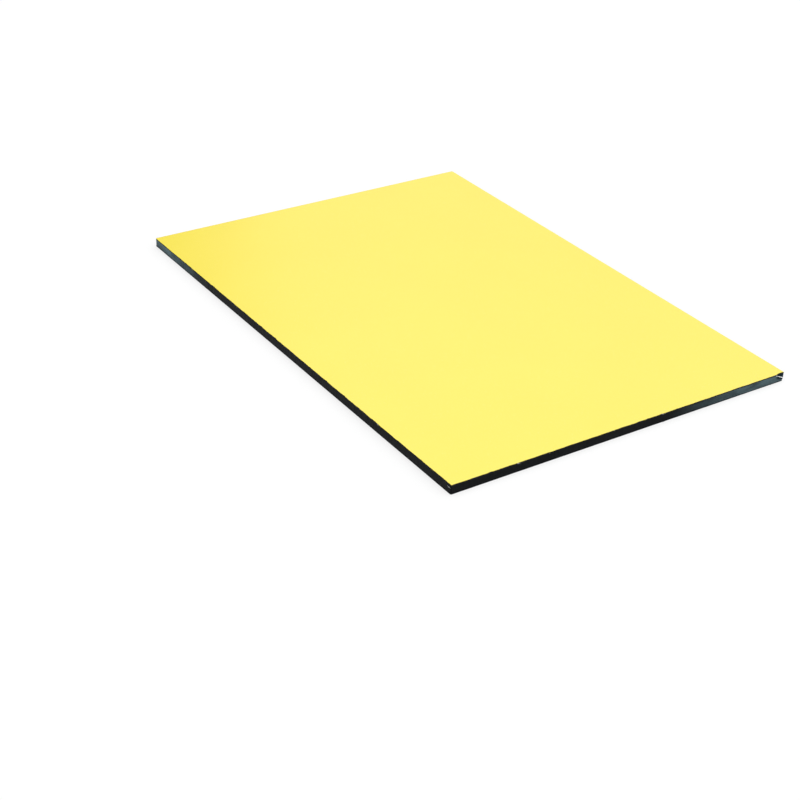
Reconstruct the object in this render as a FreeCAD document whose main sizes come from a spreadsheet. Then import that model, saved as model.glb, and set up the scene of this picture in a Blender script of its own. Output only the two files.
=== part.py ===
"""Aluminium composite panel: an A4 sample of 5 mm sheet, lying on its back skin.

Two thin aluminium skins are bonded to a dark polyethylene core. The face skin is coil coated. The
outer edges of both skins are eased, and the core stands back a little between them. One corner has
been knocked off at a slant, through the face skin and into the core, as happens when a sheet is
dropped on its corner or the shear tears it.

Frame: origin at the middle of the back, on the surface that the panel lies on. +X runs along the
long side, +Y along the short side and +Z out of the coated face. Millimetres.
"""

import FreeCAD, Part
import os

import Sketcher

# Driving dimensions, each written once: the alias, the value and what it is
SIZES = [
    ("panel_length", 297.0, "long side, over the skins"),
    ("panel_width", 210.0, "short side, over the skins"),
    ("corner_radius", 0.8, "corners of the outline, dulled by hand"),
    ("face_gauge", 0.5, "face skin, aluminium with its paint"),
    ("core_gauge", 4.0, "polyethylene core"),
    ("back_gauge", 0.5, "back skin, aluminium"),
    ("face_edge_radius", 0.2, "outer edge of the face skin, eased"),
    ("back_edge_radius", 0.12, "outer edge of the back skin, eased"),
    ("core_setback", 0.1, "how far the core's edge stands behind the skins' edges"),
    ("chip_along", 5.9, "knocked corner, along the short side"),
    ("chip_down", 3.5, "knocked corner, down from the coated face"),
    ("chip_in", 1.1, "knocked corner, along the long side"),
]

doc = FreeCAD.newDocument("composite_panel")


def make_sizes():
    """Put the driving dimensions in a spreadsheet, with the alias beside each value."""
    sheet = doc.addObject("Spreadsheet::Sheet", "Sizes")
    for row, (alias, value, meaning) in enumerate(SIZES, start=1):
        sheet.set(f"A{row}", alias)
        sheet.set(f"B{row}", str(value))
        sheet.set(f"C{row}", meaning)
        sheet.setAlias(f"B{row}", alias)
    doc.recompute()


def origin_plane(body, role):
    """The body's own origin plane with this role, such as XY_Plane."""
    return next(plane for plane in body.Origin.OriginFeatures if plane.Role == role)


def new_body(node):
    """A body whose label names its piece."""
    body = doc.addObject("PartDesign::Body", node)
    body.Label = node
    return body


def new_sketch(body, name, role):
    """A sketch on one of the body's origin planes."""
    sketch = body.newObject("Sketcher::SketchObject", name)
    sketch.AttachmentSupport = [(origin_plane(body, role), "")]
    sketch.MapMode = "FlatFace"
    return sketch


def size_constraint(sketch, constraint, name, expression):
    """Add a dimension to a sketch and bind it to the spreadsheet."""
    index = sketch.addConstraint(constraint)
    sketch.renameConstraint(index, name)
    sketch.setExpression(f"Constraints.{name}", expression)


def centred_rectangle(sketch, length, width):
    """A rectangle about the origin, its two sides bound to expressions."""
    corners = [(-1, -1), (1, -1), (1, 1), (-1, 1)]
    points = [FreeCAD.Vector(x, y, 0) for x, y in corners]
    for start, end in zip(points, points[1:] + points[:1]):
        sketch.addGeometry(Part.LineSegment(start, end), False)
    for side in range(4):
        sketch.addConstraint(Sketcher.Constraint("Coincident", side, 2, (side + 1) % 4, 1))
    for side in (0, 2):
        sketch.addConstraint(Sketcher.Constraint("Horizontal", side))
    for side in (1, 3):
        sketch.addConstraint(Sketcher.Constraint("Vertical", side))
    sketch.addConstraint(Sketcher.Constraint("Symmetric", 0, 1, 2, 1, -1, 1))
    size_constraint(sketch, Sketcher.Constraint("Distance", 0, 2.0), "length", length)
    size_constraint(sketch, Sketcher.Constraint("Distance", 1, 2.0), "width", width)


def edge_names(feature, wanted):
    """Names of the feature's edges that pass a test."""
    edges = enumerate(feature.Shape.Edges, start=1)
    return [f"Edge{number}" for number, edge in edges if wanted(edge)]


def upright(edge):
    """True for an edge that runs straight up through the sheet."""
    box = edge.BoundBox
    return box.ZLength > max(box.XLength, box.YLength)


def at_height(height):
    """A test for the edges that lie level at this height."""
    return lambda edge: abs(edge.BoundBox.ZMin - height) + abs(edge.BoundBox.ZMax - height) < 1e-6


def fillet(body, name, base, edges, radius):
    """Round the named edges of a feature, with the radius bound to an expression."""
    feature = body.newObject("PartDesign::Fillet", name)
    feature.Base = (base, edges)
    feature.setExpression("Radius", radius)
    doc.recompute()
    return feature


def layer(node, gauge, height, setback="0"):
    """One layer of the laminate: the panel's outline less a setback, as thick as its gauge."""
    body = new_body(node)
    body.setExpression("Placement.Base.z", height)
    sketch = new_sketch(body, f"{node}_outline", "XY_Plane")
    centred_rectangle(
        sketch,
        f"Sizes.panel_length - 2 * {setback}",
        f"Sizes.panel_width - 2 * {setback}",
    )
    pad = body.newObject("PartDesign::Pad", f"{node}_sheet")
    pad.Profile = sketch
    pad.setExpression("Length", gauge)
    doc.recompute()
    corners = fillet(
        body, f"{node}_corners", pad, edge_names(pad, upright), f"Sizes.corner_radius - {setback}"
    )
    return body, corners


def make_back_skin():
    """Bare aluminium, with its outer edge eased."""
    body, corners = layer("back_skin", "Sizes.back_gauge", "0")
    fillet(
        body, "back_edge", corners, edge_names(corners, at_height(0)), "Sizes.back_edge_radius"
    )
    return body


def place_corner(sketch, element, top):
    """Pin an element's first point to the panel's top corner, in a sketch across the long side."""
    origin = (-1, 1)
    across = Sketcher.Constraint("DistanceX", *origin, element, 1, 3.0)
    size_constraint(sketch, across, "across", "Sizes.panel_width / 2")
    up = Sketcher.Constraint("DistanceY", *origin, element, 1, 3.0)
    size_constraint(sketch, up, "up", top)


def knock_off_corner(body, top):
    """Cut the slanted chip out of one layer: a three-sided pyramid with its square corner at the
    panel's own top corner (+X, +Y). top is that corner's height in the body's own frame."""
    whole = body.Tip.Shape.Volume
    base = new_sketch(body, f"{body.Label}_chip_base", "YZ_Plane")
    base.setExpression("AttachmentOffset.Base.z", "Sizes.panel_length / 2")
    triangle = [FreeCAD.Vector(1, 3, 0), FreeCAD.Vector(3, 3, 0), FreeCAD.Vector(3, 1, 0)]
    for start, end in zip(triangle, triangle[1:] + triangle[:1]):
        base.addGeometry(Part.LineSegment(start, end), False)
    for side in range(3):
        base.addConstraint(Sketcher.Constraint("Coincident", side, 2, (side + 1) % 3, 1))
    base.addConstraint(Sketcher.Constraint("Horizontal", 0))
    base.addConstraint(Sketcher.Constraint("Vertical", 1))
    place_corner(base, 1, top)
    size_constraint(base, Sketcher.Constraint("Distance", 0, 2.0), "along", "Sizes.chip_along")
    size_constraint(base, Sketcher.Constraint("Distance", 1, 2.0), "down", "Sizes.chip_down")
    tip = new_sketch(body, f"{body.Label}_chip_tip", "YZ_Plane")
    tip.setExpression("AttachmentOffset.Base.z", "Sizes.panel_length / 2 - Sizes.chip_in")
    tip.addGeometry(Part.Point(FreeCAD.Vector(3, 3, 0)), False)
    place_corner(tip, 0, top)
    chip = body.newObject("PartDesign::SubtractiveLoft", f"{body.Label}_chip")
    chip.Profile = base
    chip.Sections = [tip]
    chip.Ruled = True
    doc.recompute()
    if chip.Shape.Volume >= whole:
        raise ValueError(f"the knocked corner took nothing from {body.Label}")


def make_core():
    """Polyethylene, set back between the skins, with the knocked corner."""
    body, _ = layer("core", "Sizes.core_gauge", "Sizes.back_gauge", setback="Sizes.core_setback")
    knock_off_corner(body, "Sizes.core_gauge + Sizes.face_gauge")
    return body


def make_face_skin():
    """Coated aluminium, with its outer edge eased and the knocked corner."""
    body, corners = layer("face_skin", "Sizes.face_gauge", "Sizes.back_gauge + Sizes.core_gauge")
    top = corners.Shape.BoundBox.ZMax
    fillet(
        body, "face_edge", corners, edge_names(corners, at_height(top)), "Sizes.face_edge_radius"
    )
    knock_off_corner(body, "Sizes.face_gauge")
    return body


def check_and_export(bodies):
    """Stop at a failed object or a bad solid, then write each piece to its own file."""
    for thing in doc.Objects:
        if {"Invalid", "Error"} & set(thing.State):
            raise ValueError(f"{thing.Name} failed: {thing.State}")
    for body in bodies:
        shape = body.Shape
        if shape.isNull() or not shape.isValid() or len(shape.Solids) != 1:
            raise ValueError(f"{body.Label} is not one valid solid")
    os.makedirs("parts", exist_ok=True)
    for body in bodies:
        body.Shape.exportStep(f"parts/{body.Label}.step")
        box = body.Shape.BoundBox
        print(
            f"{body.Label}: {box.XLength:.2f} x {box.YLength:.2f} x {box.ZLength:.2f} mm, "
            f"from z {box.ZMin:.2f}, volume {body.Shape.Volume:.1f} mm3"
        )


make_sizes()
pieces = [make_back_skin(), make_core(), make_face_skin()]
doc.recompute()
check_and_export(pieces)
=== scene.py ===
"""Looks of an aluminium composite panel: an A4 sample of 5 mm sheet, lying on a white floor.

The laminate is three closed meshes, one for each layer, lofted round one outline: the face skin with
its paint chipped back from an eased edge, the core with its drag marks, and the back skin with its
bare cut edge. A slanted chip is knocked off one corner, down into the core, and the corner under it
is crushed in. Two torn slivers of skin hang on the edge.

Frame: origin at the middle of the back, +X along the long side, +Y along the short side, +Z up.
Work is in millimetres until a mesh is made. The camera's place and the floor are in metres.
"""

import math
from collections import namedtuple

import bmesh
import bpy
from mathutils import Matrix, Vector, noise


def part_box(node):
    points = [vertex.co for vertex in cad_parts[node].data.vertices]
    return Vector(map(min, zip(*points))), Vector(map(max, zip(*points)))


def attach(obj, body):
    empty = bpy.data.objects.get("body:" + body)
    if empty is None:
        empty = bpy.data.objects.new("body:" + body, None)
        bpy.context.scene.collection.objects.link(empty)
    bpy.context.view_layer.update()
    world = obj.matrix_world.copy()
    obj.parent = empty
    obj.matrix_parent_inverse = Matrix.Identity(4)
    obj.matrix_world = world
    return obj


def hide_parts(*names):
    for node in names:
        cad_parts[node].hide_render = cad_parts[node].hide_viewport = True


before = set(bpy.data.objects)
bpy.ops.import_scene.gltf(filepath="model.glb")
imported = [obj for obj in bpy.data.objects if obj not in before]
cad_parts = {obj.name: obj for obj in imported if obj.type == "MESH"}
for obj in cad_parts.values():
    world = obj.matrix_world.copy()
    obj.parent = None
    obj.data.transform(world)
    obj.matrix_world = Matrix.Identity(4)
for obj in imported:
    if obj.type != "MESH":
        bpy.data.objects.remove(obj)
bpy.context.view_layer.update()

MM = 0.001

# The laminate, from the frame
FACE_LOW, FACE_HIGH = (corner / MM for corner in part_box("face_skin"))
CORE_LOW, CORE_HIGH = (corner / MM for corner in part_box("core"))
BACK_LOW, BACK_HIGH = (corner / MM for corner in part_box("back_skin"))
HALF_LENGTH = FACE_HIGH.x
HALF_WIDTH = FACE_HIGH.y
CORE_SETBACK = FACE_HIGH.x - CORE_HIGH.x
CORNER_RADIUS = 0.8
FACE_EASE = 0.2
BACK_EASE = 0.12
PAINT_THICKNESS = 0.025

# How far in from the edge the paint ends: evenly all round, and more on the two sides that are worn
PAINT_EVEN, PAINT_WORN, PAINT_WORN_MOST = 0.10, 0.08, 0.34
PAINT_WORN_REACH = 45.0
PAINT_WAVE, PAINT_WAVE_SIZE = 0.20, 5.5
PAINT_NOTCH, PAINT_NOTCH_SIZE, PAINT_NOTCH_FROM = 0.60, 2.8, 0.20
PAINT_RIPPLE, PAINT_RIPPLE_SIZE = 0.05, 0.9
PAINT_LEAST, PAINT_MOST = 0.06, 0.62

# The core's cut edge: how far in it stands, and the depth and size of the blade's marks
CORE_STEPS = 15
CORE_INSET, CORE_INSET_LEAST, CORE_PINCH = 0.085, 0.015, 0.05
DRAG_DEPTH, DRAG_SIZE = 0.030, (0.9, 0.9, 9.0)
SCORE_DEPTH, SCORE_SIZE, SCORE_LAYER = 0.018, (0.35, 0.35, 4.0), 40
LUMP_DEPTH, LUMP_SIZE = 0.030, 2.6

# The knocked corner, measured from the top corner at +X, +Y, and how its break differs from a plane:
# deeper all over, hollow in its middle, shallow at its tip, and rough in lumps of a depth and a size
CHIP_IN = 1.1
CHIP_ALONG = 5.9
CHIP_DOWN = 3.5
BREAK_DEPTH = 0.1
BREAK_HOLLOW = 0.8
BREAK_TIP = 0.9
BREAK_LUMPS = ((0.10, 1.7), (0.05, 0.6), (0.02, 0.25))

# The corner under the break, crushed in below a height, fully so below a lower one
CRUSH_DEPTH = 0.40
CRUSH_REACH = 1.0
CRUSH_BELOW, CRUSH_FULL_BELOW = 1.3, 0.5

# Painted shadow of the sliver on the core: under a line that passes this y and z and falls this much
# for each mm of y. It fades out at these depths under the line, and fades in between these places
# along y.
SLIVER_SHADOW_Y, SLIVER_SHADOW_Z, SLIVER_SHADOW_FALL = 102.1, 2.1, 0.295
SLIVER_SHADOW_FADES_OUT = (0.1, 1.2)
SLIVER_SHADOW_FADES_IN = (98.7, 101.1)

# Slivers: how much they twist, how their ends are pointed, and the depth and size of their jags
SLIVER_SIDES = 8
SLIVER_TWIST, SLIVER_TWIST_SIZE = 0.7, 1.1
SLIVER_END, SLIVER_POINT = 0.18, 0.07
SLIVER_JAGS = ((0.32, 0.8), (0.28, 0.33))

# Mesh spacing
EDGE_STEP = 0.25
CORNER_STEPS_LEAST = 6
BREAK_STEP = 0.15
INSIDE_STEP = 9.0
INSIDE_MARGIN = 2.5
SHARP_ANGLE = 38.0

# Bake map, in pixels, and its densities in pixels for each millimetre
MAP_NAME = "OFBake"
MAP_SIZE = 1024
MAP_MARGIN = 8
MAP_GAP = 4
SKIN_ROWS, SKIN_ROW_DENSITY = 8, 20.0
CORE_ROWS, CORE_ROW_DENSITY = 15, 13.5
FACE_PLACE, FACE_DENSITY = (MAP_MARGIN, 300), 3.35
HIDDEN_PLACE, HIDDEN_DENSITY = (MAP_MARGIN, 240), 0.2
CORE_TOP_PLACE, CORE_UNDER_PLACE = (100, 965), (200, 965)
SKIN_BREAK_PLACE, SKIN_BREAK_DENSITY = (900, 235), 7.0
CORE_BREAK_PLACE, CORE_BREAK_DENSITY = (500, 870), 13.0

# Colours, linear
YELLOW = (0.985, 0.824, 0.100)
DUSTY_YELLOW = (0.95, 0.88, 0.35)
POLYETHYLENE = (0.0035, 0.0042, 0.0048)
# A lighter core colour for painted reflection, not the plastic's own colour
PAINTED_REFLECTION = (0.080, 0.127, 0.141)
# The torn plastic's colour, also used for the sliver's painted shadow on the core
TORN_AND_SHADOW_POLYETHYLENE = (0.007, 0.017, 0.024)
FILLER = (0.10, 0.12, 0.13)
ALUMINIUM = (0.80, 0.81, 0.82)

# Painted reflection, lighter along x towards the core's -X end, and along y, not quite so far,
# towards +Y
PAINTED_REFLECTION_X, PAINTED_REFLECTION_X_MOST = (-80.0, -140.0), 1.0
PAINTED_REFLECTION_Y, PAINTED_REFLECTION_Y_MOST = (22.0, 86.0), 0.8

# Camera, matched to the photograph's perspective
CAMERA_PLACE = (0.64426, -0.48380, 0.41930)
CAMERA_AZIMUTH = 54.916
CAMERA_ELEVATION = 30.72
CAMERA_ROLL = 2.814
CAMERA_LENS = 74.5
CAMERA_SEES = (0.01, 100.0)
SENSOR_WIDTH = 36.0

# Light. Angles are in degrees: up from the level, and round from +X towards +Y.
LOW_SKY, HIGH_SKY, TOP_SKY = 0.80, 1.28, 1.05
SKY_RISES = (22.0, 32.0)
SKY_SETTLES = (42.0, 58.0)
DIM_SIDE = 0.08
BRIGHT_UNTIL = (149.0, 155.0)
BRIGHT_FROM = (-110.0, -90.0)
ALL_ROUND_ABOVE = (38.0, 55.0)
SUN_LEVEL = 0.16
SUN_SPREAD = 40.0
SUN_TILT = (-8.0, -8.0, 0.0)
FLOOR_SIZE = 40.0
FLOOR_WHITE = 0.8
FLOOR_SHADING = 0.3
FLOOR_GLOW = 0.69

Stop = namedtuple("Stop", "x y nx ny along")
Ring = namedtuple("Ring", "place material")
Band = namedtuple("Band", "left bottom row_length rows density height_density")
Plane = namedtuple("Plane", "centre across upright outward")
Sliver = namedtuple("Sliver", "steps widest thickness across map_place map_cell")


def grain(x, y, z, size):
    """Smooth noise from -1 to 1 in lumps of about this size, which may be one number or three."""
    sizes = size if hasattr(size, "__len__") else (size, size, size)
    return noise.noise(Vector((x / sizes[0], y / sizes[1], z / sizes[2])))


def grain_at(stop, layer, size):
    """Noise at a stop. The layer keeps noises of like size apart."""
    return grain(stop.x, stop.y, layer, size)


def clamp(value, low, high):
    """The value, or the limit that it passes."""
    return min(max(value, low), high)


def in_metres(distances):
    """Millimetres as metres, for the materials."""
    return [distance * MM for distance in distances]


class Surface:
    """Points and faces of a mesh in the making, and where each face corner lies in the bake map."""

    def __init__(self):
        self.points = []
        self.faces = []
        self.corners = []
        self.materials = []
        self.smooth = []

    def point(self, place):
        self.points.append(place)
        return len(self.points) - 1

    def face(self, points, corners, material, smooth):
        self.faces.append(points)
        self.corners.extend(corners)
        self.materials.append(material)
        self.smooth.append(smooth)

    def build(self, name, materials):
        """The mesh object, in metres."""
        mesh = bpy.data.meshes.new(name)
        mesh.from_pydata([[c * MM for c in place] for place in self.points], [], self.faces)
        for material in materials:
            mesh.materials.append(material)
        mesh.polygons.foreach_set("material_index", self.materials)
        mesh.polygons.foreach_set("use_smooth", self.smooth)
        bake_map = mesh.uv_layers.new(name=MAP_NAME)
        flat = [c / MAP_SIZE for corner in self.corners for c in corner]
        bake_map.data.foreach_set("uv", flat)
        mesh.update()
        mesh.set_sharp_from_angle(angle=math.radians(SHARP_ANGLE))
        made = bpy.data.objects.new(name, mesh)
        bpy.context.scene.collection.objects.link(made)
        return made


def outline(half_x, half_y, radius):
    """Stops round a rounded rectangle, anticlockwise from above, from the -X end of the -Y side, and
    the length all round."""
    stops = []
    along = 0.0
    for side in range(4):
        angle = math.radians(90 * side)
        run = Vector((math.cos(angle), math.sin(angle)))
        out = Vector((run.y, -run.x))
        half_run, half_out = (half_x, half_y) if side % 2 == 0 else (half_y, half_x)
        straight = 2 * (half_run - radius)
        start = out * half_out - run * (half_run - radius)
        count = round(straight / EDGE_STEP)
        for number in range(count):
            done = straight * number / count
            place = start + run * done
            stops.append(Stop(place.x, place.y, out.x, out.y, along + done))
        along += straight
        centre = run * (half_run - radius) + out * (half_out - radius)
        arc = radius * math.pi / 2
        count = max(CORNER_STEPS_LEAST, round(arc / EDGE_STEP))
        for number in range(count):
            turn = math.pi / 2 * number / count
            normal = out * math.cos(turn) + run * math.sin(turn)
            place = centre + normal * radius
            done = arc * number / count
            stops.append(Stop(place.x, place.y, normal.x, normal.y, along + done))
        along += arc
    return stops, along


def edge_band(total, rows, height_density):
    """The part of the bake map for an edge this long, laid in rows one above another."""
    row_length = total / rows
    density = (MAP_SIZE - 2 * MAP_MARGIN) / (row_length + 1)
    return Band(MAP_MARGIN, MAP_MARGIN, row_length, rows, density, height_density)


def add_band(surface, stops, total, rings, band):
    """The edge of a layer: one loop of points for each ring, joined by quads. Returns the loops."""
    loops = []
    heights = [0.0]
    for number, ring in enumerate(rings):
        loop = []
        for stop in stops:
            inset, z = ring.place(stop)
            place = (stop.x - stop.nx * inset, stop.y - stop.ny * inset, z)
            loop.append(surface.point(place))
        loops.append(loop)
        if number:
            above, below = (Vector(surface.points[each[0]]) for each in loops[-2:])
            heights.append(heights[-1] + (above - below).length)
    row_height = heights[-1] * band.height_density + MAP_GAP
    ends = [stop.along for stop in stops[1:]] + [total]
    for number, ring in enumerate(rings[1:], start=1):
        above, below = loops[number - 1], loops[number]
        for place, stop in enumerate(stops):
            after = (place + 1) % len(stops)
            row = min(int(stop.along / band.row_length), band.rows - 1)
            left = band.left + (stop.along - row * band.row_length) * band.density
            right = left + (ends[place] - stop.along) * band.density
            base = band.bottom + row * row_height
            top = base + (heights[-1] - heights[number - 1]) * band.height_density
            bottom = base + (heights[-1] - heights[number]) * band.height_density
            surface.face(
                (above[place], below[place], below[after], above[after]),
                ((left, top), (left, bottom), (right, bottom), (right, top)),
                ring.material,
                True,
            )
    return loops


def add_cap(surface, stops, total, loop, upward, material, place_in_map):
    """A flat side of a layer: a coarse grid inside, stitched to the fine loop round it."""
    z = surface.points[loop[0]][2]
    half_x = HALF_LENGTH - INSIDE_MARGIN
    half_y = HALF_WIDTH - INSIDE_MARGIN
    columns = round(2 * half_x / INSIDE_STEP)
    rows = round(2 * half_y / INSIDE_STEP)
    grid = [
        [
            surface.point((half_x * (2 * column / columns - 1), half_y * (2 * row / rows - 1), z))
            for column in range(columns + 1)
        ]
        for row in range(rows + 1)
    ]

    def add(points):
        if not upward:
            points = points[::-1]
        corners = [place_in_map(surface.points[point]) for point in points]
        surface.face(points, corners, material, False)

    for lower, upper in zip(grid, grid[1:]):
        for column in range(columns):
            add((lower[column], lower[column + 1], upper[column + 1], upper[column]))
    inner = grid[0][:-1]
    inner += [grid[row][-1] for row in range(rows)]
    inner += grid[-1][:0:-1]
    inner += [grid[row][0] for row in range(rows, 0, -1)]
    lengths = [0.0]
    for first, second in zip(inner, inner[1:] + inner[:1]):
        gap = Vector(surface.points[second]) - Vector(surface.points[first])
        lengths.append(lengths[-1] + gap.length)
    inner_done = [length / lengths[-1] for length in lengths]
    outer_done = [stop.along / total for stop in stops] + [1.0]
    at_outer = at_inner = 0
    while at_outer < len(loop) or at_inner < len(inner):
        outer_point = loop[at_outer % len(loop)]
        inner_point = inner[at_inner % len(inner)]
        outer_left = at_outer < len(loop)
        inner_left = at_inner < len(inner)
        take_outer = outer_left and (
            not inner_left or outer_done[at_outer + 1] <= inner_done[at_inner + 1]
        )
        if take_outer:
            at_outer += 1
            add((outer_point, loop[at_outer % len(loop)], inner_point))
        else:
            at_inner += 1
            add((outer_point, inner[at_inner % len(inner)], inner_point))


def map_block(map_place, density):
    """A way to lay a flat side in the bake map, with its corner at map_place."""
    left, bottom = map_place
    return lambda place: (
        left + (place[0] + HALF_LENGTH) * density,
        bottom + (place[1] + HALF_WIDTH) * density,
    )


def chipped(stop):
    """How far in from the edge the paint ends. It is chipped back unevenly on the +X and -Y sides,
    most at the corner between them and least at the far end of the -Y side."""
    from_corner = math.hypot(stop.x - HALF_LENGTH, stop.y + HALF_WIDTH)
    worn = PAINT_WORN_MOST * math.exp(-from_corner / PAINT_WORN_REACH)
    wave = PAINT_WAVE * grain_at(stop, 0.0, PAINT_WAVE_SIZE)
    notch = PAINT_NOTCH * max(0.0, grain_at(stop, 5.0, PAINT_NOTCH_SIZE) - PAINT_NOTCH_FROM)
    worn_side = max(stop.nx, -stop.ny, 0.0) * min((stop.x + HALF_LENGTH) / PAINT_WORN_REACH, 1.0)
    ripple = PAINT_RIPPLE * grain_at(stop, 3.0, PAINT_RIPPLE_SIZE)
    inset = PAINT_EVEN + worn_side * (PAINT_WORN + worn + wave + notch) + ripple
    return clamp(inset, PAINT_LEAST, PAINT_MOST)


def face_skin_rings():
    """From the coated face, over the eased edge and down the cut to the underside."""
    top, bottom = FACE_HIGH.z, FACE_LOW.z

    def metal(inset):
        """Height of the bare metal this far in from the edge."""
        short = max(0.0, FACE_EASE - inset)
        return top - PAINT_THICKNESS - FACE_EASE + math.sqrt(FACE_EASE**2 - short**2)

    def painted(further):
        def place(stop):
            inset = chipped(stop) + further
            return inset, min(top, metal(inset) + PAINT_THICKNESS)

        return place

    def bare(share, under_paint=0.015):
        def place(stop):
            inset = (chipped(stop) - under_paint) * share
            return inset, metal(inset)

        return place

    def sheared(inset, rough, layer, size, rise):
        return lambda stop: (inset + rough * grain_at(stop, layer, size), bottom + rise)

    coat, cut = 0, 1
    coat_inset, under_inset = 0.95 * CORNER_RADIUS, 0.06
    rings = [Ring(lambda stop: (coat_inset, top), coat)]
    rings += [Ring(painted(further), coat) for further in (0.12, 0.0)]
    rings += [Ring(bare(share), cut) for share in (1.0, 0.66, 0.38, 0.18, 0.05, 0.0)]
    rings += [Ring(sheared(inset=0.006, rough=0.006, layer=11.0, size=0.7, rise=0.16), cut)]
    rings += [Ring(sheared(inset=0.030, rough=0.022, layer=13.0, size=0.9, rise=0.045), cut)]
    rings += [Ring(lambda stop: (under_inset, bottom), cut)]
    return rings


def crushed(stop, z):
    """How far the corner under the break is crushed in."""
    from_corner = math.hypot(stop.x - HALF_LENGTH, stop.y - HALF_WIDTH)
    low = clamp((CRUSH_BELOW - z) / (CRUSH_BELOW - CRUSH_FULL_BELOW), 0.0, 1.0)
    return CRUSH_DEPTH * low * math.exp(-((from_corner / CRUSH_REACH) ** 2))


def core_rings():
    """Down the core's cut edge, dragged by the blade."""
    top, bottom = CORE_HIGH.z, CORE_LOW.z

    def at(share):
        z = top + (bottom - top) * share

        def place(stop):
            drag = DRAG_DEPTH * grain_at(stop, z, DRAG_SIZE)
            drag += SCORE_DEPTH * grain_at(stop, z + SCORE_LAYER, SCORE_SIZE)
            lumps = LUMP_DEPTH * grain_at(stop, z, LUMP_SIZE)
            pinch = CORE_PINCH * (2 * share - 1) ** 4
            inset = CORE_INSET + pinch + drag + lumps
            return max(inset, CORE_INSET_LEAST) - CORE_SETBACK + crushed(stop, z), z

        return place

    return [Ring(at(number / CORE_STEPS), 0) for number in range(CORE_STEPS + 1)]


def back_skin_rings():
    """From the upper side, down the bare cut and round the eased outer edge."""
    top, bottom = BACK_HIGH.z, BACK_LOW.z

    def sheared(inset, layer, drop):
        z = top - drop

        def place(stop):
            rough = 0.6 * grain_at(stop, layer, 0.8) + 0.3 * grain_at(stop, layer, 6)
            return inset * (1 + rough) + crushed(stop, z), z

        return place

    def eased(degrees):
        turn = math.radians(degrees)

        def place(stop):
            size = BACK_EASE * (1 + 0.25 * grain_at(stop, 21.0, 5.0))
            z = bottom + size * (1 - math.sin(turn))
            return size * (1 - math.cos(turn)) + crushed(stop, z), z

        return place

    bare, cut = 0, 1
    upper_inset, under_inset = 0.05, 0.62
    rings = [Ring(lambda stop: (upper_inset + crushed(stop, top), top), cut)]
    rings += [Ring(sheared(inset=0.018, layer=23.0, drop=0.04), cut)]
    rings += [Ring(sheared(inset=0.006, layer=25.0, drop=0.2), cut)]
    rings += [Ring(eased(degrees), cut) for degrees in (0, 22, 45, 67)]
    rings += [Ring(eased(90), bare), Ring(lambda stop: (under_inset, bottom), bare)]
    return rings


def make_face_skin():
    """Coated aluminium."""
    surface = Surface()
    stops, total = outline(HALF_LENGTH, HALF_WIDTH, CORNER_RADIUS)
    band = edge_band(total, SKIN_ROWS, SKIN_ROW_DENSITY)
    loops = add_band(surface, stops, total, face_skin_rings(), band)
    seen, hidden = map_block(FACE_PLACE, FACE_DENSITY), map_block(HIDDEN_PLACE, HIDDEN_DENSITY)
    add_cap(surface, stops, total, loops[0], True, 0, seen)
    add_cap(surface, stops, total, loops[-1], False, 1, hidden)
    made = surface.build("face_skin_coated", [coil_coat(), smeared_cut()])
    knock_off_corner(made, torn_skin(), SKIN_BREAK_PLACE, SKIN_BREAK_DENSITY)
    finish_piece(made, "face_skin")


def make_core():
    """Polyethylene."""
    surface = Surface()
    half_x = HALF_LENGTH - CORE_SETBACK
    half_y = HALF_WIDTH - CORE_SETBACK
    stops, total = outline(half_x, half_y, CORNER_RADIUS - CORE_SETBACK)
    band = edge_band(total, CORE_ROWS, CORE_ROW_DENSITY)
    loops = add_band(surface, stops, total, core_rings(), band)
    upper = map_block(CORE_TOP_PLACE, HIDDEN_DENSITY)
    under = map_block(CORE_UNDER_PLACE, HIDDEN_DENSITY)
    add_cap(surface, stops, total, loops[0], True, 0, upper)
    add_cap(surface, stops, total, loops[-1], False, 0, under)
    made = surface.build("core_polyethylene", [cut_polyethylene()])
    knock_off_corner(made, torn_polyethylene(), CORE_BREAK_PLACE, CORE_BREAK_DENSITY)
    finish_piece(made, "core")


def make_back_skin():
    """Bare aluminium."""
    surface = Surface()
    stops, total = outline(HALF_LENGTH, HALF_WIDTH, CORNER_RADIUS)
    band = edge_band(total, SKIN_ROWS, SKIN_ROW_DENSITY)
    loops = add_band(surface, stops, total, back_skin_rings(), band)
    seen, hidden = map_block(FACE_PLACE, FACE_DENSITY), map_block(HIDDEN_PLACE, HIDDEN_DENSITY)
    add_cap(surface, stops, total, loops[0], True, 1, hidden)
    add_cap(surface, stops, total, loops[-1], False, 0, seen)
    made = surface.build("back_skin_bare", [mill_finish(), bright_cut()])
    finish_piece(made, "back_skin")


def finish_piece(piece, node):
    """Hide the part that the piece stands in for, and hang the piece on the root body."""
    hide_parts(node)
    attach(piece, "root")


def break_plane():
    """The slanted plane through the three ends of the knocked corner."""
    corner = Vector((HALF_LENGTH, HALF_WIDTH, FACE_HIGH.z))
    on_x = corner - Vector((CHIP_IN, 0, 0))
    on_y = corner - Vector((0, CHIP_ALONG, 0))
    on_z = corner - Vector((0, 0, CHIP_DOWN))
    outward = (on_y - on_x).cross(on_z - on_x).normalized()
    if outward.dot(corner - on_x) < 0:
        outward.negate()
    across = (on_y - on_z).normalized()
    return Plane((on_x + on_y + on_z) / 3, across, outward.cross(across), outward)


def hollow(place):
    """How much deeper the break is than the slanted plane: more in its middle, less at its tip."""
    along = clamp(1 - (HALF_WIDTH - place.y) / CHIP_ALONG, 0.0, 1.0)
    inward = clamp((HALF_LENGTH - place.x) / CHIP_IN, 0.0, 1.2)
    return inward * (BREAK_HOLLOW * (1 - along) - BREAK_TIP * along**2)


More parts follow.
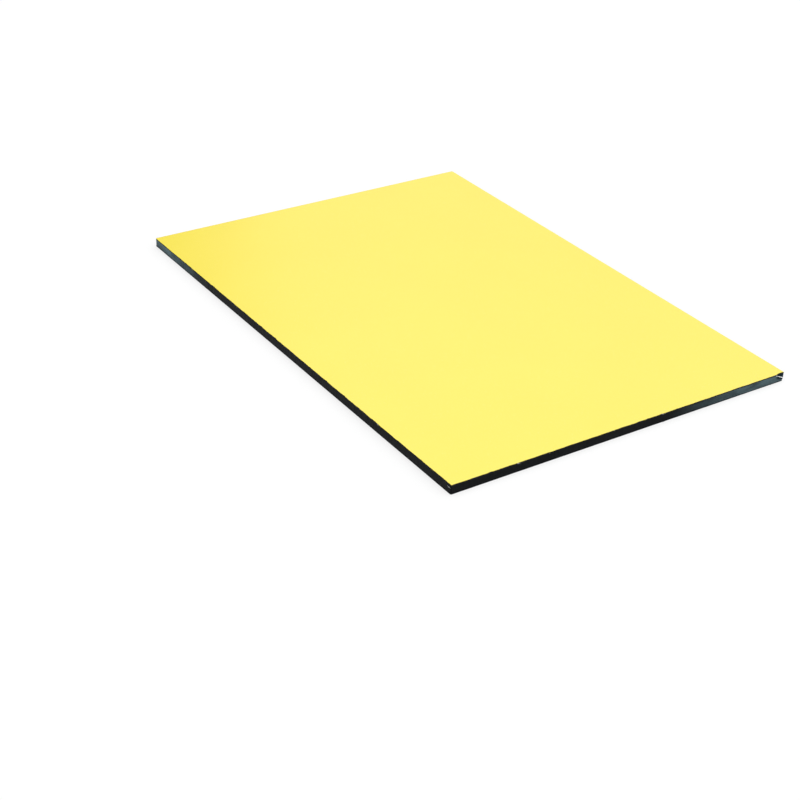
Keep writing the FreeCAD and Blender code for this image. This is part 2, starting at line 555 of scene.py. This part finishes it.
def chip_cutter(material, map_place, density):
    """A block outside the knocked corner, whose inner side is the rough break. map_place is where the
    break starts in the bake map."""
    plane = break_plane()
    half_across, half_up, thickness = 6.0, 4.5, 5
    columns, rows = round(2 * half_across / BREAK_STEP), round(2 * half_up / BREAK_STEP)
    squeeze = 0.9
    surface = Surface()

    def flat(column, row):
        right, up = BREAK_STEP * column - half_across, BREAK_STEP * row - half_up
        return plane.centre + plane.across * right + plane.upright * up

    def in_map(column, row):
        right, up = BREAK_STEP * column * density, BREAK_STEP * row * density * squeeze
        return map_place[0] + right, map_place[1] + up

    def rough(place):
        broken = sum(depth * grain(*place, size) for depth, size in BREAK_LUMPS)
        return place + plane.outward * (broken - BREAK_DEPTH - hollow(place))

    inner = [
        [surface.point(rough(flat(column, row))) for column in range(columns + 1)]
        for row in range(rows + 1)
    ]
    outer = [
        [surface.point(flat(column, row) + plane.outward * thickness) for column in (0, columns)]
        for row in (0, rows)
    ]
    for row in range(rows):
        for column in range(columns):
            steps = ((column, row), (column, row + 1), (column + 1, row + 1), (column + 1, row))
            points = tuple(inner[r][c] for c, r in steps)
            surface.face(points, [in_map(c, r) for c, r in steps], 0, True)
    walls = (
        (inner[0], outer[0][0], outer[0][1]),
        ([inner[row][-1] for row in range(rows + 1)], outer[0][1], outer[1][1]),
        (inner[-1][::-1], outer[1][1], outer[1][0]),
        ([inner[row][0] for row in range(rows, -1, -1)], outer[1][0], outer[0][0]),
    )
    spare = in_map(0, 0)
    for side, first, last in walls:
        points = tuple(side) + (last, first)
        surface.face(points, [spare] * len(points), 0, False)
    back = (outer[0][0], outer[0][1], outer[1][1], outer[1][0])
    surface.face(back, [spare] * len(back), 0, False)
    cutter = surface.build("chip_cutter", [material])
    fix_normals(cutter)
    return cutter


def fix_normals(piece):
    """Turn every face of a closed mesh outwards."""
    mesh = bmesh.new()
    mesh.from_mesh(piece.data)
    bmesh.ops.recalc_face_normals(mesh, faces=mesh.faces)
    mesh.to_mesh(piece.data)
    mesh.free()


def knock_off_corner(piece, material, map_place, density):
    """Cut the chip out of a layer. The break takes the material."""
    cutter = chip_cutter(material, map_place, density)
    cut = piece.modifiers.new("knocked_corner", "BOOLEAN")
    cut.operation = "DIFFERENCE"
    cut.solver = "EXACT"
    cut.material_mode = "TRANSFER"
    cut.object = cutter
    bpy.context.view_layer.update()
    shaped = piece.evaluated_get(bpy.context.evaluated_depsgraph_get())
    mesh = bpy.data.meshes.new_from_object(shaped)
    piece.modifiers.clear()
    old = piece.data
    piece.data = mesh
    mesh.name = piece.name
    mesh.set_sharp_from_angle(angle=math.radians(SHARP_ANGLE))
    bpy.data.meshes.remove(old)
    bpy.data.objects.remove(cutter)


class Tree:
    """A short way to write a node tree."""

    def __init__(self, holder):
        holder.use_nodes = True
        self.tree = holder.node_tree
        self.tree.nodes.clear()

    def add(self, kind, settings=None, **inputs):
        """A node. Its inputs are named with _ for a space, and take a value or another's socket."""
        made = self.tree.nodes.new(kind)
        for name, value in (settings or {}).items():
            setattr(made, name, value)
        for name, value in inputs.items():
            self.feed(made.inputs[name.replace("_", " ")], value)
        return made

    def feed(self, socket, value):
        if isinstance(value, bpy.types.NodeSocket):
            self.tree.links.new(value, socket)
        else:
            socket.default_value = value

    def calculate(self, operation, *values):
        made = self.tree.nodes.new("ShaderNodeMath")
        made.operation = operation
        for socket, value in zip(made.inputs, values):
            self.feed(socket, value)
        return made.outputs[0]

    def remap(self, value, low, high, to_low, to_high, smooth=False):
        kind = "SMOOTHSTEP" if smooth else "LINEAR"
        made = self.add("ShaderNodeMapRange", {"interpolation_type": kind, "clamp": True})
        limits = {"From Min": low, "From Max": high, "To Min": to_low, "To Max": to_high}
        for name, number in limits.items():
            made.inputs[name].default_value = number
        self.feed(made.inputs["Value"], value)
        return made.outputs["Result"]

    def place(self):
        """The point's place on the object, in metres."""
        return self.add("ShaderNodeTexCoord").outputs["Object"]

    def place_parts(self):
        """The place's X, Y and Z."""
        return self.add("ShaderNodeSeparateXYZ", Vector=self.place()).outputs

    def grain(self, sizes, detail=2.0, roughness=0.5, shift=0.0):
        """Noise from 0 to 1 with lumps of these sizes in millimetres. shift keeps noises apart."""
        scale = tuple(1 / (size * MM) for size in sizes)
        moved = (shift, shift, shift)
        spot = self.add("ShaderNodeMapping", Vector=self.place(), Scale=scale, Location=moved)
        made = self.add("ShaderNodeTexNoise", Vector=spot.outputs[0], Scale=1.0)
        made.inputs["Detail"].default_value = detail
        made.inputs["Roughness"].default_value = roughness
        return made.outputs["Fac"]

    def blend(self, share, first, second):
        """A mix of two colours."""
        made = self.add("ShaderNodeMix", {"data_type": "RGBA"})
        self.feed(made.inputs["Factor"], share)
        for socket, value in ((made.inputs[6], first), (made.inputs[7], second)):
            if not isinstance(value, bpy.types.NodeSocket):
                value = (*value, 1.0)
            self.feed(socket, value)
        return made.outputs[2]

    def bump(self, height, depth, normal=None):
        """Relief: height from 0 to 1, depth in millimetres."""
        made = self.add("ShaderNodeBump", Height=height, Strength=1.0, Distance=depth * MM)
        if normal is not None:
            self.feed(made.inputs["Normal"], normal)
        return made.outputs[0]


def surface_material(name, colour):
    """A material and its tree with one principled shader."""
    material = bpy.data.materials.new(name)
    material.diffuse_color = (*colour, 1.0)
    tree = Tree(material)
    shader = tree.add("ShaderNodeBsdfPrincipled")
    output = tree.add("ShaderNodeOutputMaterial")
    tree.feed(output.inputs["Surface"], shader.outputs[0])
    tree.feed(shader.inputs["Base Color"], (*colour, 1.0))
    return material, tree, shader


def tinted(colour, factor):
    """A colour made lighter or darker."""
    return tuple(min(1.0, part * factor) for part in colour)


def coil_coat():
    """Gloss yellow coil coating: even, with a trace of orange peel, rubs and dust."""
    material, tree, shader = surface_material("coil_coat_yellow", YELLOW)
    shader.inputs["IOR"].default_value = 1.5
    cloud = tree.remap(tree.grain((60, 45, 60), 1.0), 0.3, 0.7, 0.0, 1.0)
    even = tree.blend(cloud, tinted(YELLOW, 0.992), tinted(YELLOW, 1.006))
    speck = tree.remap(tree.grain((0.55, 0.55, 0.55), 0.0, shift=5.0), 0.76, 0.80, 0.0, 0.25)
    tree.feed(shader.inputs["Base Color"], tree.blend(speck, even, DUSTY_YELLOW))
    rub = tree.remap(tree.grain((38, 22, 30), 3.0, shift=2.0), 0.3, 0.7, 0.13, 0.18)
    hair = tree.remap(tree.grain((9.0, 0.35, 1.0), 2.0, shift=7.0), 0.66, 0.74, 0.0, 0.09)
    gloss = tree.calculate("ADD", rub, hair)
    dust = tree.calculate("MULTIPLY", speck, 0.8)
    tree.feed(shader.inputs["Roughness"], tree.calculate("ADD", gloss, dust))
    peel = tree.bump(tree.grain((1.6, 1.6, 1.6), 1.0, shift=1.0), 0.004)
    wave = tree.bump(tree.grain((42, 42, 42), 1.0, shift=3.0), 0.02, normal=peel)
    tree.feed(shader.inputs["Normal"], wave)
    return material


def cut_metal(name, brightness, smear_from, smear_to, clean_below=None):
    """A skin's sheared edge: bare metal with drag marks, smeared with the core's plastic in patches,
    or all over above a height in millimetres."""
    material, tree, shader = surface_material(name, tinted(ALUMINIUM, brightness))
    shader.inputs["Specular IOR Level"].default_value = 0.1
    drag = tree.grain((0.12, 0.12, 2.5), 2.0, 0.6)
    patch = tree.grain((5.0, 5.0, 1.5), 3.0, 0.65, shift=4.0)
    smear = tree.remap(patch, smear_from, smear_to, 0.0, 1.0, smooth=True)
    if clean_below is not None:
        waver = tree.calculate("MULTIPLY_ADD", patch, 0.16 * MM, tree.place_parts()["Z"])
        low, high = (clean_below + 0.04) * MM, (clean_below + 0.12) * MM
        above = tree.remap(waver, low, high, 0.0, 1.0, smooth=True)
        smear = tree.calculate("MAXIMUM", smear, above)
    bare = tree.blend(drag, tinted(ALUMINIUM, 0.75 * brightness), tinted(ALUMINIUM, brightness))
    tree.feed(shader.inputs["Base Color"], tree.blend(smear, bare, POLYETHYLENE))
    tree.feed(shader.inputs["Metallic"], tree.calculate("SUBTRACT", 1.0, smear))
    rough = tree.remap(drag, 0.3, 0.7, 0.26, 0.44)
    dull = tree.calculate("MULTIPLY_ADD", smear, 0.15, rough)
    tree.feed(shader.inputs["Roughness"], dull)
    tree.feed(shader.inputs["Normal"], tree.bump(drag, 0.02))
    return material


def smeared_cut():
    """The face skin's cut, which the blade dragged the plastic over."""
    return cut_metal("face_skin_cut", 0.8, 0.24, 0.36)


def bright_cut():
    """The back skin's cut: the lower half is clean and bright."""
    return cut_metal("back_skin_cut", 1.1, 0.66, 0.78, clean_below=0.22)


def torn_skin():
    """The face skin where the corner was knocked off: crushed, dull and dirty."""
    return cut_metal("face_skin_torn", 0.6, 0.15, 0.30)


def bright_sliver():
    """A torn shred of skin, clean and bright."""
    return cut_metal("sliver", 1.25, 0.80, 0.90)


def plastic(name, colour, reflection, rough_from, rough_to):
    """The core's plastic, with its filler, the lines it was extruded with, and the painted reflection
    that lightens it towards its -X end and +Y side. Also returns the blade's drag marks."""
    material, tree, shader = surface_material(name, colour)
    shader.inputs["IOR"].default_value = 1.5
    flow = tree.grain((14, 14, 0.16), 2.0, shift=2.0)
    patch = tree.grain((9.0, 9.0, 3.0), 3.0, shift=6.0)
    shade = tree.remap(tree.calculate("ADD", flow, patch), 0.75, 1.25, 0.0, 1.0)
    filler = tree.remap(tree.grain((0.22, 0.22, 0.22), 1.0, shift=3.0), 0.68, 0.76, 0.0, 0.25)
    parts = tree.place_parts()
    # Painted reflection: the edge is lightened towards the -X end and towards +Y
    reflection_x = tree.remap(parts["X"], *in_metres(PAINTED_REFLECTION_X), 0.0, PAINTED_REFLECTION_X_MOST, smooth=True)
    reflection_y = tree.remap(parts["Y"], *in_metres(PAINTED_REFLECTION_Y), 0.0, PAINTED_REFLECTION_Y_MOST, smooth=True)
    with_reflection = tree.blend(tree.calculate("MAXIMUM", reflection_x, reflection_y), colour, reflection)
    streak = tree.remap(shade, 0.0, 1.0, 0.55, 1.45)
    scaled = tree.add("ShaderNodeVectorMath", {"operation": "SCALE"}, Vector=with_reflection, Scale=streak)
    tree.feed(shader.inputs["Base Color"], tree.blend(filler, scaled.outputs[0], FILLER))
    drag = tree.grain((0.30, 0.30, 7.0), 3.0, 0.6, shift=8.0)
    tree.feed(shader.inputs["Roughness"], tree.remap(drag, 0.3, 0.7, rough_from, rough_to))
    return material, tree, shader, drag


def sliver_shadow(tree):
    """How deep the sliver's painted shadow on the core is: 1 right under the sliver at the knocked
    corner, 0 further away.
    """
    parts = tree.place_parts()
    height = tree.calculate("MULTIPLY_ADD", parts["Y"], SLIVER_SHADOW_FALL, parts["Z"])
    level = (SLIVER_SHADOW_Z + SLIVER_SHADOW_FALL * SLIVER_SHADOW_Y) * MM
    below = tree.calculate("SUBTRACT", level, height)
    under = tree.remap(below, *in_metres(SLIVER_SHADOW_FADES_OUT), 1.0, 0.0, smooth=True)
    begun = tree.remap(parts["Y"], *in_metres(SLIVER_SHADOW_FADES_IN), 0.0, 1.0, smooth=True)
    return tree.calculate("MULTIPLY", under, begun)


def cut_polyethylene():
    """The core's cut edge, dragged upright by the blade, lightened by painted reflection towards its
    -X end and +Y side, and darkened by the sliver's painted shadow under the knocked corner.
    """
    material, tree, shader, drag = plastic("core_cut", POLYETHYLENE, PAINTED_REFLECTION, 0.36, 0.58)
    shader.inputs["Specular IOR Level"].default_value = 0.05
    # The colour before the sliver's painted shadow goes over it
    clean = shader.inputs["Base Color"].links[0].from_socket
    tree.feed(shader.inputs["Base Color"], tree.blend(sliver_shadow(tree), clean, TORN_AND_SHADOW_POLYETHYLENE))
    tree.feed(shader.inputs["Normal"], tree.bump(drag, 0.05))
    return material


def torn_polyethylene():
    """The core where the corner was knocked off: nearly black and rough."""
    torn = TORN_AND_SHADOW_POLYETHYLENE
    material, tree, shader, _ = plastic("core_torn", torn, torn, 0.55, 0.8)
    shader.inputs["Specular IOR Level"].default_value = 0.04
    tree.feed(shader.inputs["Normal"], tree.bump(tree.grain((0.3, 0.3, 0.3), 4.0, 0.65), 0.12))
    return material


def mill_finish():
    """The back skin's outer side: mill finish with rolling lines, rubs and dull clouds."""
    material, tree, shader = surface_material("mill_finish", ALUMINIUM)
    shader.inputs["Metallic"].default_value = 1.0
    line = tree.grain((45.0, 0.28, 1.0), 3.0, 0.65)
    cloud = tree.grain((50, 34, 40), 3.0, shift=5.0)
    shade = tree.remap(tree.calculate("ADD", line, cloud), 0.7, 1.3, 0.0, 1.0)
    colour = tree.blend(shade, tinted(ALUMINIUM, 0.80), tinted(ALUMINIUM, 1.05))
    tree.feed(shader.inputs["Base Color"], colour)
    tree.feed(shader.inputs["Roughness"], tree.remap(shade, 0.0, 1.0, 0.42, 0.30))
    tree.feed(shader.inputs["Normal"], tree.bump(line, 0.006))
    return material


def ribbon(surface, path, widths, sliver):
    """A thin, slightly twisted strip of metal along a path, with a lens-shaped section. It stays
    inside the panel's outline."""
    loops = []
    for number, (place, width) in enumerate(zip(path, widths)):
        before = path[max(number - 1, 0)]
        after = path[min(number + 1, len(path) - 1)]
        run = (after - before).normalized()
        twist = SLIVER_TWIST * grain(*place, SLIVER_TWIST_SIZE)
        level = (sliver.across - run * sliver.across.dot(run)).normalized()
        flat = Matrix.Rotation(twist, 3, run) @ level
        thick = run.cross(flat)
        loop = []
        for side in range(SLIVER_SIDES):
            turn = 2 * math.pi * side / SLIVER_SIDES
            out_flat = flat * math.cos(turn) * width / 2
            out_thick = thick * math.sin(turn) * sliver.thickness / 2
            spot = place + (out_flat + out_thick)
            spot.x = min(spot.x, HALF_LENGTH)
            spot.y = max(spot.y, -HALF_WIDTH)
            loop.append(surface.point(spot))
        loops.append(loop)

    def in_map(step, side):
        left, bottom = sliver.map_place
        wide, high = sliver.map_cell
        return left + step * wide, bottom + side * high

    for step, (above, below) in enumerate(zip(loops, loops[1:])):
        for side in range(SLIVER_SIDES):
            after = (side + 1) % SLIVER_SIDES
            places = ((step, side), (step, side + 1), (step + 1, side + 1), (step + 1, side))
            points = (above[side], above[after], below[after], below[side])
            surface.face(points, [in_map(*place) for place in places], 0, True)
    last = len(loops) - 1
    for step, points in ((0, loops[0][::-1]), (last, loops[-1])):
        corners = [in_map(step, side) for side in range(SLIVER_SIDES)]
        surface.face(tuple(points), corners, 0, False)


def torn_width(place, share, widest):
    """Width of a sliver this share of the way along: jagged, and pointed at both ends."""
    from_end = min(share, 1 - share)
    point = min(1.0, SLIVER_END + from_end / SLIVER_POINT)
    jag = sum((depth * grain(*place, size) for depth, size in SLIVER_JAGS), 1.0)
    bulge = math.sin(math.pi * (0.10 + 0.80 * share)) ** 0.5
    return widest * point * jag * bulge


def add_sliver(surface, sliver, place_at):
    """One sliver, along the places that place_at gives for each share of the way."""
    shares = [number / sliver.steps for number in range(sliver.steps + 1)]
    path = [place_at(share) for share in shares]
    widths = [torn_width(place, share, sliver.widest) for place, share in zip(path, shares)]
    ribbon(surface, path, widths, sliver)


def under_break(share):
    """Along the lower edge of the knocked corner and round the corner's own arc."""
    corner = Vector((HALF_LENGTH, HALF_WIDTH, FACE_HIGH.z))
    start = corner - Vector((0.07, CHIP_ALONG, 0.56))
    end = corner - Vector((0.07, 0.2, CHIP_DOWN - 0.2))
    place = start.lerp(end, share)
    place.z += 0.08 * grain(*place, 1.3) + 0.06 * math.sin(math.pi * share)
    beyond = max(0.0, place.y - (HALF_WIDTH - CORNER_RADIUS))
    place.x -= CORNER_RADIUS - math.sqrt(CORNER_RADIUS**2 - beyond**2)
    return place


def by_near_corner(share):
    """Along the -Y side, just short of its +X end and under the face skin."""
    near = Vector((HALF_LENGTH, -HALF_WIDTH, FACE_HIGH.z))
    place = near + Vector((-2.9 + 2.4 * share, 0.07, -1.50 - 0.10 * share))
    place.z += 0.06 * grain(*place, 0.9)
    return place


def make_slivers():
    """Slivers of the face skin that the knock and the shear left on the edge."""
    surface = Surface()
    long_one = Sliver(
        steps=56, widest=0.45, thickness=0.12, across=Vector((0.2, 0.3, 1)),
        map_place=(40, 500), map_cell=(16, 24),
    )
    short_one = Sliver(
        steps=28, widest=0.15, thickness=0.08, across=Vector((0, 0.2, 1)),
        map_place=(40, 100), map_cell=(24, 24),
    )
    add_sliver(surface, long_one, under_break)
    add_sliver(surface, short_one, by_near_corner)
    made = surface.build("torn_slivers", [bright_sliver()])
    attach(made, "root")


def is_seen(tree):
    """1 for rays that show the background: from the camera, or off a gloss or through glass."""
    path = tree.add("ShaderNodeLightPath").outputs
    seen = tree.calculate("MAXIMUM", path["Is Camera Ray"], path["Is Glossy Ray"])
    return tree.calculate("MAXIMUM", seen, path["Is Transmission Ray"])


def make_floor():
    """A white floor that keeps a soft shadow."""
    half = FLOOR_SIZE / 2
    corners = [(-half, -half, 0), (half, -half, 0), (half, half, 0), (-half, half, 0)]
    mesh = bpy.data.meshes.new("floor")
    mesh.from_pydata(corners, [], [(0, 1, 2, 3)])
    floor = bpy.data.objects.new("floor", mesh)
    bpy.context.scene.collection.objects.link(floor)
    material = bpy.data.materials.new("floor_white")
    tree = Tree(material)
    plain = tree.add("ShaderNodeBsdfDiffuse", Color=(FLOOR_WHITE,) * 3 + (1,))
    shaded = tree.add("ShaderNodeBsdfDiffuse", Color=(FLOOR_SHADING,) * 3 + (1,))
    glow = tree.add("ShaderNodeEmission", Color=(1, 1, 1, 1), Strength=FLOOR_GLOW)
    shown = tree.add("ShaderNodeAddShader")
    tree.feed(shown.inputs[0], shaded.outputs[0])
    tree.feed(shown.inputs[1], glow.outputs[0])
    either = tree.add("ShaderNodeMixShader", Fac=is_seen(tree))
    tree.feed(either.inputs[1], plain.outputs[0])
    tree.feed(either.inputs[2], shown.outputs[0])
    output = tree.add("ShaderNodeOutputMaterial")
    tree.feed(output.inputs["Surface"], either.outputs[0])
    mesh.materials.append(material)


def make_light():
    """A white studio: a wide softbox overhead and on one side, dim low down on the other, and a
    broad soft lamp. The camera sees plain white."""
    world = bpy.data.worlds.new("studio")
    bpy.context.scene.world = world
    tree = Tree(world)
    direction = tree.add("ShaderNodeTexCoord").outputs["Generated"]
    parts = tree.add("ShaderNodeSeparateXYZ", Vector=direction).outputs
    up = tree.calculate("ARCSINE", parts["Z"])
    around = tree.calculate("ARCTAN2", parts["Y"], parts["X"])

    def ramp(angle, between, first, last):
        low, high = (math.radians(degrees) for degrees in between)
        return tree.remap(angle, low, high, first, last, smooth=True)

    rising = ramp(up, SKY_RISES, LOW_SKY, HIGH_SKY)
    settling = ramp(up, SKY_SETTLES, 0.0, HIGH_SKY - TOP_SKY)
    sky = tree.calculate("SUBTRACT", rising, settling)
    dimming = ramp(around, BRIGHT_UNTIL, 1.0, DIM_SIDE)
    brightening = ramp(around, BRIGHT_FROM, DIM_SIDE, 1.0)
    lit_side = tree.calculate("MULTIPLY", dimming, brightening)
    lit = tree.calculate("MAXIMUM", lit_side, ramp(up, ALL_ROUND_ABOVE, 0.0, 1.0))
    level = tree.calculate("MULTIPLY", sky, lit)
    camera_ray = tree.add("ShaderNodeLightPath").outputs["Is Camera Ray"]
    others = tree.calculate("MULTIPLY", level, tree.calculate("SUBTRACT", 1.0, camera_ray))
    shown = tree.calculate("ADD", others, camera_ray)
    background = tree.add("ShaderNodeBackground", Color=(1, 1, 1, 1), Strength=shown)
    output = tree.add("ShaderNodeOutputWorld")
    tree.feed(output.inputs["Surface"], background.outputs[0])
    lamp = bpy.data.lights.new("overhead", "SUN")
    lamp.angle = math.radians(SUN_SPREAD)
    lamp.energy = SUN_LEVEL * math.pi
    made = bpy.data.objects.new("overhead", lamp)
    made.rotation_euler = [math.radians(angle) for angle in SUN_TILT]
    bpy.context.scene.collection.objects.link(made)


def make_camera():
    """The photograph's point of view."""
    data = bpy.data.cameras.new("camera")
    data.lens = CAMERA_LENS
    data.sensor_width = SENSOR_WIDTH
    data.clip_start, data.clip_end = CAMERA_SEES
    camera = bpy.data.objects.new("camera", data)
    turn = Matrix.Rotation(math.radians(CAMERA_AZIMUTH), 4, "Z")
    tilt = Matrix.Rotation(math.radians(90 - CAMERA_ELEVATION), 4, "X")
    roll = Matrix.Rotation(math.radians(CAMERA_ROLL), 4, "Z")
    camera.matrix_world = Matrix.Translation(CAMERA_PLACE) @ turn @ tilt @ roll
    bpy.context.scene.collection.objects.link(camera)
    bpy.context.scene.camera = camera


make_face_skin()
make_core()
make_back_skin()
make_slivers()
make_floor()
make_light()
make_camera()
bpy.context.scene.view_settings.view_transform = "Standard"
